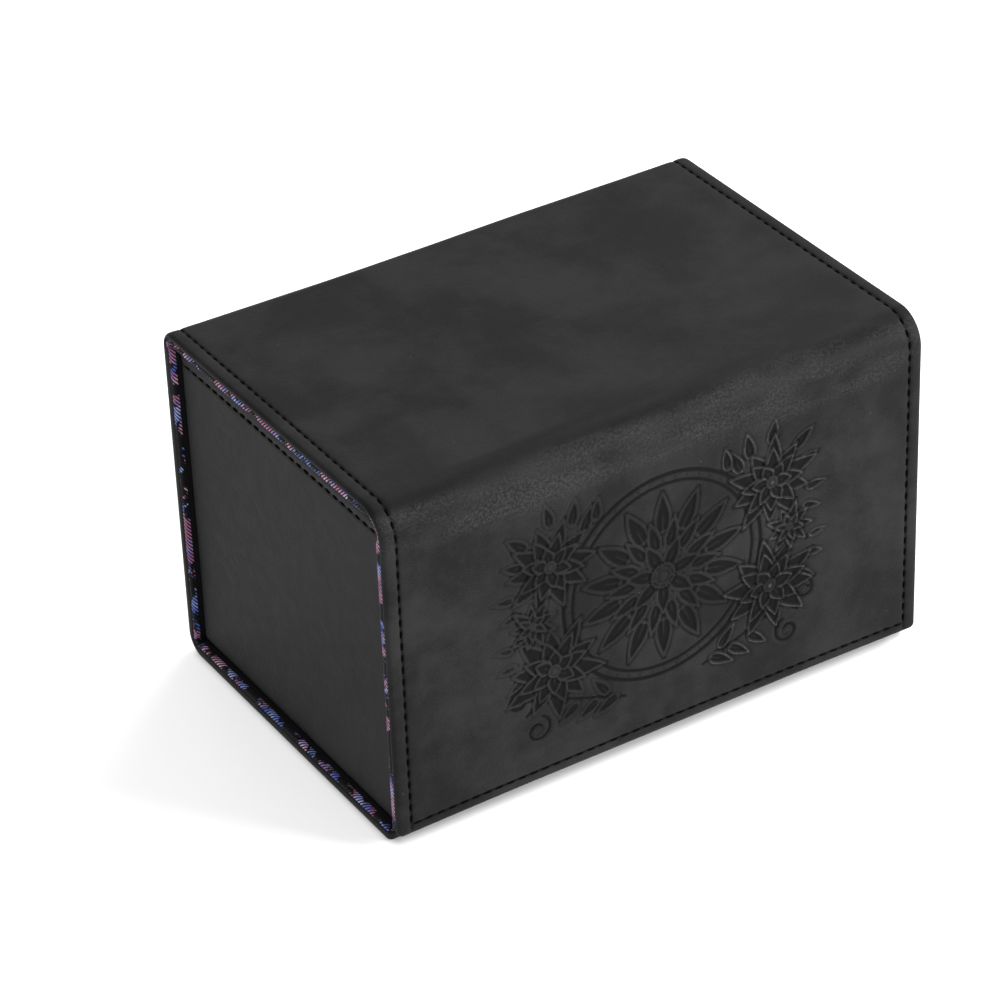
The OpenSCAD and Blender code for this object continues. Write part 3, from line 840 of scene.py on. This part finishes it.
PRESS_TOP, PRESS_END = flap_s(ORNAMENT_HIGH - 2), flap_s(ORNAMENT_LOW - 1)
REAR_ROWS = stations(TURN, (0.4, TURN + 5 * MM), (0.88, S["heel"]), (0.6, S["back"]),
                     (0.88, S["rear_fold"] - 2 * MM), (0.4, S["lid"] + 3 * MM), (0.88, S_SPLIT))
FRONT_ROWS = stations(S_SPLIT, (0.88, S["front_fold"] - 4 * MM), (0.5, PRESS_TOP),
                      (0.42, PRESS_END), (0.5, S_END - TURN))
leather_rear = turned_sheet("cover_leather_rear", length_lines(0.32, 1.3, 1.3), REAR_ROWS,
                            leather_face, LEATHER_RIM, wrap, COVER_LEATHER, (True, False),
                            leather_under, seam_shade)
leather_front = turned_sheet("cover_leather_front", length_lines(0.32, 0.42, 1.1), FRONT_ROWS,
                             pressed_face, LEATHER_RIM, wrap, COVER_LEATHER, (False, True),
                             leather_under, ornament_and_seam_shade)

LINING_COLS = stations(-END_X, (0.6, -END_X + 3 * MM), (4, END_X - 3 * MM), (0.6, END_X))
LINING_REAR_ROWS = stations(TURN, (2.5, S["heel"] - 1 * MM), (0.8, S["back"] + 1 * MM),
                            (2.5, S["rear_fold"] - 2 * MM), (0.25, S["lid"] + 2 * MM),
                            (2.5, S_SPLIT))
LINING_FRONT_ROWS = stations(S_SPLIT, (2.5, S["front_fold"] - 2 * MM), (0.4, S["flap"] + 2 * MM),
                             (2.5, S_END - TURN))
lining_rear = turned_sheet("cover_lining_rear", LINING_COLS, LINING_REAR_ROWS, lining_face,
                           LINING_RIM, wrap, COVER_LINING, (True, False), leather_under)
lining_front = turned_sheet("cover_lining_front", LINING_COLS, LINING_FRONT_ROWS, lining_face,
                            LINING_RIM, wrap, COVER_LINING, (False, True), leather_under)


def seam_row(start, end):
    """Middles and direction of the stitches on a straight seam between two flat points."""
    start, end = np.array(start), np.array(end)
    length = np.linalg.norm(end - start)
    count = round(length / STITCH)
    middles = [start + (end - start) * (k + 0.5) / count for k in range(count)]
    return middles, (end - start) / length


side_rows = [seam_row((x, HEMS[0]), (x, HEMS[1])) for x in (-SEAM_X, SEAM_X)]
hem_rows = [seam_row((-SEAM_X, s), (SEAM_X, s)) for s in HEMS]
rear_rows = [([m for m in middles if m[1] < S_SPLIT], way) for middles, way in side_rows]
front_rows = [([m for m in middles if m[1] >= S_SPLIT], way) for middles, way in side_rows]
thread_rear = stitch_tubes("thread_rear", rear_rows + hem_rows[:1], wrap, THREAD)
thread_front = stitch_tubes("thread_front", front_rows + hem_rows[1:], wrap, THREAD)

# ---------------- the tray
TRAY_TURN = 2.1 * MM
TRAY_RIM = ((0.54, 0.07, 0.75, 0), (1.05, 0.28, 0.4, 0), (1.49, 0.61, 0.1, 0), (1.82, 1.05, 0, 0),
            (2.03, 1.56, 0, 0), (2.1, 2.05, 0, 0), (1.9, 2.32, 0, 0), (1.5, 2.39, 0, 0),
            (1.33, 2.1, 0, 0), (1.29, 1.4, 0, 0), (1.1, 0.92, 0, 0), (0, 0.8, 0, 0))
SHOULDER_R, TRAY_HEEL_R = R_FRONT - COVER_T, R_HEEL - COVER_T + 0.5 * MM
TRAY_FRONT_LO, TRAY_FRONT_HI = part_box("tray_front_leather")


def end_panel_place(side):
    def place(y, z, d):
        y, z = round_corner(y, z, (TRAY_LO.y, TRAY_HI.z), (-1, 1), SHOULDER_R)
        y, z = round_corner(y, z, (TRAY_HI.y, TRAY_LO.z), (1, -1), TRAY_HEEL_R)
        return np.stack([side * (TRAY_X - d), y, z], -1)
    return place


def end_panel_face(y, z):
    valley = seam_valley(z - TRAY_SEAM_Z, y)
    puff = bell((z - TRAY_SEAM_Z - 2 * MM) / (1.2 * MM))
    dish = (1 - ((y - 0.5 * MM) / (52 * MM)) ** 2) * np.sin(np.clip(z / TOP_Z, 0, 1) * math.pi)
    return valley - 0.10 * MM * puff + 0.04 * MM * waves(y, z, 31, 22 * MM, 80 * MM) + 0.18 * MM * dish


# Painted shade along the end panel's row of stitches
def end_panel_seam_shade(y, z):
    return np.broadcast_to(painted_seam_shade(z - TRAY_SEAM_Z), np.broadcast(y, z).shape)


def tray_front_place(x, s, d):
    """Straight up the tray's front, then over its rounded shoulder."""
    rise = TRAY_HI.z - SHOULDER_R
    a = np.clip((s - rise) / SHOULDER_R, 0, None)
    over = s > rise
    y = np.where(over, TRAY_LO.y + SHOULDER_R - (SHOULDER_R - d) * np.cos(a), TRAY_LO.y + d)
    z = np.where(over, rise + (SHOULDER_R - d) * np.sin(a), s)
    return np.stack([np.broadcast_to(x, y.shape), y, z], -1)


def tray_front_face(x, s):
    return 0.05 * MM * waves(x, s, 37, 25 * MM, 90 * MM)


y_lines = stations(TRAY_LO.y + TRAY_TURN, (0.9, TRAY_HI.y - TRAY_TURN))
z_lines = stations(TRAY_LO.z + TRAY_TURN, (1.2, TRAY_SEAM_Z - 3 * MM), (0.3, TRAY_HI.z - TRAY_TURN))
seam = seam_row((TRAY_LO.y + 2.6 * MM, TRAY_SEAM_Z), (TRAY_HI.y - 2.2 * MM, TRAY_SEAM_Z))
panels = {}
for side_name, side in (("left", -1), ("right", 1)):
    place_end = end_panel_place(side)
    panels[side_name] = turned_sheet(f"tray_{side_name}_panel", y_lines, z_lines, end_panel_face,
                                     TRAY_RIM, place_end, TRAY_LEATHER, painted_light_depth=end_panel_seam_shade)
    panels[side_name + "_thread"] = stitch_tubes(f"thread_tray_{side_name}", [seam], place_end, THREAD)
front_rise = TRAY_HI.z - SHOULDER_R
front_angle = math.acos(1 - (TRAY_FRONT_HI.y - TRAY_LO.y) / SHOULDER_R)
front_top = front_rise + SHOULDER_R * front_angle
tray_front = turned_sheet(
    "tray_front_panel", stations(TRAY_FRONT_LO.x + TRAY_TURN, (1.5, TRAY_FRONT_HI.x - TRAY_TURN)),
    stations(TRAY_FRONT_LO.z + TRAY_TURN, (1.6, front_rise), (0.4, front_top - TRAY_TURN)),
    tray_front_face, TRAY_RIM, tray_front_place, TRAY_LEATHER)


def tray_lining_piece():
    """The cloth on the tray's four inner walls, with its top edge turned over the back board."""
    thick = 0.6 * MM
    back_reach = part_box("tray_back_board")[1].y - LINING_HI.y + thick
    lo = (LINING_LO.x + thick, LINING_LO.y + thick)
    hi = (LINING_HI.x - thick, LINING_HI.y - thick)
    corners = [(lo[0], lo[1]), (hi[0], lo[1]), (hi[0], hi[1]), (lo[0], hi[1])]
    rough = []
    for (ax, ay), (bx, by) in zip(corners, corners[1:] + corners[:1]):
        shares = np.linspace(0, 1, int(math.hypot(bx - ax, by - ay) / (3 * MM)))[:-1]
        rough += [(ax + (bx - ax) * t, ay + (by - ay) * t) for t in shares]
    loop = filleted(rough, 1.6 * MM)
    outward = outward_normals(loop)
    run = np.concatenate([[0], np.cumsum(np.linalg.norm(np.diff(loop, axis=0), axis=1))])
    is_back = smooth((loop[:, 1] - hi[1] + 2.0 * MM) / (1.9 * MM))
    is_front = smooth((lo[1] + 2.0 * MM - loop[:, 1]) / (1.9 * MM))
    top = LINING_HI.z - 0.12 * MM - 0.4 * MM * is_front
    lip = 0.45 * MM + (back_reach - 0.6 * MM) * is_back
    low = LINING_LO.z + 0.1 * MM
    # From the foot up the inside, over the lip and down between the cloth and the boards
    inside = [(0.0, low + (top - 0.5 * MM - low) * t) for t in np.linspace(0, 1, 34)]
    over = [(0.06 * MM, top - 0.2 * MM), (0.22 * MM, top - 0.04 * MM),
            (0.22 * MM + (lip - 0.22 * MM) * 0.5, top), (lip, top - 0.03 * MM),
            (lip + 0.13 * MM, top - 0.22 * MM), (lip + 0.05 * MM, top - 0.45 * MM),
            (thick, top - 0.52 * MM)]
    behind = [(thick, top - 0.8 * MM + (low - top + 0.8 * MM) * t) for t in np.linspace(0, 1, 8)]
    profile = [np.broadcast_arrays(out, z) for out, z in inside + over + behind]
    points, uv, down = [], [], 0.0
    for k, (out, z) in enumerate(profile):
        wobble = 0.05 * MM * waves(run, z, 41, 12 * MM, 50 * MM) if k < len(inside) else 0
        points.append(np.column_stack([loop + outward * (out + wobble)[:, None], z]))
        if k:
            down += float(np.mean(np.hypot(out - profile[k - 1][0], z - profile[k - 1][1])))
        uv.append(np.column_stack([run, np.full(len(loop), down)]))
    faces = ring_faces(len(loop), len(profile), closed=True)
    piece = make_piece("tray_cloth", np.concatenate(points), faces, LINING, np.concatenate(uv))
    return piece, run[-1], top.max() - low


tray_cloth, tray_cloth_run, tray_cloth_height = tray_lining_piece()


def plate(outline, half, edge):
    """Points and faces of a plate across X with rounded edges, from one side to the other."""
    outward = outward_normals(outline)
    rings = []
    for side in (-1, 1):
        for k in range(5):
            a = math.pi / 2 * (k - 4 if side < 0 else k) / 4
            x = side * (half - edge) + edge * math.sin(a)
            yz = outline - outward * edge * (1 - math.cos(a))
            rings.append(np.column_stack([np.full(len(yz), x), yz]))
    n = len(outline)
    faces = ring_faces(n, len(rings))
    faces += [list(range(n))[::-1], list(range((len(rings) - 1) * n, len(rings) * n))]
    return np.concatenate(rings), faces


def divider_outline(inset):
    lo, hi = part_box("divider_cloth")
    y0, y1, z0, z1 = lo.y + inset, hi.y - inset, lo.z + inset, hi.z - inset
    notch_r, centre = 14 * MM + inset, ((LINING_LO.y + LINING_HI.y) / 2, hi.z)
    drop = math.asin((hi.z - z1) / notch_r)
    notch = [(centre[0] + notch_r * math.cos(a), centre[1] + notch_r * math.sin(a))
             for a in np.linspace(-drop, -math.pi + drop, 25)]
    return filleted([(y0, z0), (y1, z0), (y1, z1), *notch, (y0, z1)], 0.9 * MM)


def divider_cloth_piece():
    """The cloth round the divider's board: its outer face, and the hollow that the board fills."""
    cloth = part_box("divider_board")[0].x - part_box("divider_cloth")[0].x
    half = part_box("divider_cloth")[1].x
    outer, outer_faces = plate(divider_outline(0.0), half, 0.8 * MM)
    inner, inner_faces = plate(divider_outline(cloth * 0.9), half - cloth * 0.95, 0.45 * MM)
    shifted = [[v + len(outer) for v in f] for f in inner_faces]
    points = np.concatenate([outer, inner])
    uv = points[:, 1:] + np.stack([points[:, 0], points[:, 0]], -1)
    first = len(outer_faces)
    return make_piece("divider_wrap", points, outer_faces + shifted, LINING, uv,
                      inner_faces=range(first, first + len(shifted)))


divider_wrap = divider_cloth_piece()

# ---------------- what moves with what
# The rear bends run a little steeper than the fold
REAR_SLOPE = 0.8
R_REAR_IN = R_REAR - COVER_T + 0.5 * MM
REAR_BEND = {"start": (0, REAR_Y, TOP_Z - R_REAR), "end": (0, REAR_Y - REAR_SLOPE * R_REAR, TOP_Z)}
REAR_BEND_IN = {"start": (0, REAR_Y - COVER_T, TOP_Z - R_REAR - 0.5 * MM),
                "end": (0, REAR_Y - COVER_T - REAR_SLOPE * R_REAR_IN, TOP_Z - COVER_T)}
FRONT_BEND = {"start": (0, FRONT_Y + R_FRONT, TOP_Z), "end": (0, FRONT_Y, TOP_Z - R_FRONT)}
FRONT_BEND_IN = {"start": (0, FRONT_Y + R_FRONT, TOP_Z - COVER_T),
                 "end": (0, FRONT_Y + COVER_T, TOP_Z - R_FRONT)}
for piece, bend in ((leather_rear, REAR_BEND), (thread_rear, REAR_BEND), (lining_rear, REAR_BEND_IN)):
    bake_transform(piece)
for piece, bend in ((leather_front, FRONT_BEND), (thread_front, FRONT_BEND),
                    (lining_front, FRONT_BEND_IN)):
    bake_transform(piece)
for piece in (*panels.values(), tray_front, tray_cloth):
    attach(piece, "base")
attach(divider_wrap, "divider")

ENDINGS = {"leather": "_leather", "lining": "_lining", "thread": "_stitching"}
STANDS_FOR = (
    (leather_rear, "leather", "bottom heel back rear_fold"),
    (leather_front, "leather", "lid front_fold flap"),
    (lining_rear, "lining", "base rear_fold"),
    (lining_front, "lining", "lid front_fold flap"),
    (thread_rear, "thread", "bottom back"),
    (thread_front, "thread", "lid flap"),
    (panels["left"], "leather", "tray_left"),
    (panels["right"], "leather", "tray_right"),
    (panels["left_thread"], "thread", "tray_left"),
    (panels["right_thread"], "thread", "tray_right"),
    (tray_front, "leather", "tray_front"),
    (tray_cloth, "lining", "tray"),
)
for piece, slot_name, parts in STANDS_FOR:
    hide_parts(*(part + ENDINGS[slot_name] for part in parts.split()))
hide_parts("divider_cloth")

for name, cad_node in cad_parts.items():
    if cad_node.hide_render:
        continue
    is_magnet = "magnet" in name
    cad_node.data.materials.clear()
    cad_node.data.materials.append(magnet_material(name) if is_magnet else board_material(name))

# ---------------- floor, light and camera
def area_light(name, at, size, watts):
    """A square white lamp that faces the middle of the box."""
    data = bpy.data.lights.new(name, "AREA")
    data.shape, data.size, data.energy = "SQUARE", size, watts
    light = bpy.data.objects.new(name, data)
    light.location = at
    facing = Vector((0, 0, TOP_Z / 2)) - Vector(at)
    light.rotation_euler = facing.to_track_quat("-Z", "Y").to_euler()
    scene.collection.objects.link(light)


def make_floor():
    """A white floor that glows, with its glow faded to black under the box and at its foot: a painted
    contact shadow.
    """
    mesh = bpy.data.meshes.new("floor")
    reach = 6.0
    corners = [(-reach, -reach, 0), (reach, -reach, 0), (reach, reach, 0), (-reach, reach, 0)]
    mesh.from_pydata(corners, [], [(0, 1, 2, 3)])
    made, tree = new_material("floor", Specular_IOR_Level=0.0, Roughness=1.0,
                                      Base_Color=(0.8, 0.8, 0.8, 1), Emission_Strength=0.56)
    at = split(body_coords(tree))
    squares = []
    for axis, half in (("X", HALF_LEN - 2.6 * MM), ("Y", -BOTTOM_Y)):
        beside = maths("SUBTRACT", maths("ABSOLUTE", at[axis]), half)
        beside = maths("MAXIMUM", beside, 0.0)
        squares.append(times(beside, beside))
    away = maths("SQRT", plus(*squares))
    # Painted contact shadow: the glow fades to black under the box and at its foot
    glow_with_painted_shadow = mix(ramp(away, 0.0, 4.4 * MM), (0.0, 0.0, 0.0), (1.0, 1.0, 1.0))
    tree.links.new(glow_with_painted_shadow, shader_input(made, "Emission Color"))
    mesh.materials.append(made)
    floor = bpy.data.objects.new("floor", mesh)
    scene.collection.objects.link(floor)


make_floor()
world = bpy.data.worlds.new("studio")
world.use_nodes = True
background = world.node_tree.nodes["Background"].inputs
background["Color"].default_value = (1, 1, 1, 1)
background["Strength"].default_value = 0.55
scene.world = world
scene.view_settings.view_transform = "Standard"
scene.view_settings.look = "None"
area_light("key", (0.9, 0.5, 1.2), 0.8, 12)
area_light("behind", (0.1, 1.5, 0.9), 1.0, 3.2)
area_light("front_right", (0.95, -1.0, 0.65), 0.6, 27)

AZIMUTH, ELEVATION, ROLL = (math.radians(a) for a in (-31.23, 33.06, 2.24))
AIM = Vector((-0.0112, 0.0049, 0.0475))
AWAY = 1.0668
data = bpy.data.cameras.new("camera")
data.sensor_width, data.lens = 36.0, 147.0
data.clip_start, data.clip_end = 0.05, 50.0
camera = bpy.data.objects.new("camera", data)
back = Vector((math.sin(AZIMUTH) * math.cos(ELEVATION), -math.cos(AZIMUTH) * math.cos(ELEVATION),
               math.sin(ELEVATION)))
right = (-back).cross(Vector((0, 0, 1))).normalized()
up = back.cross(right)
turned_right = right * math.cos(ROLL) - up * math.sin(ROLL)
turned_up = up * math.cos(ROLL) + right * math.sin(ROLL)
camera.matrix_world = Matrix.Translation(AIM + back * AWAY) @ Matrix(
    (turned_right, turned_up, back)).transposed().to_4x4()
scene.collection.objects.link(camera)
scene.camera = camera
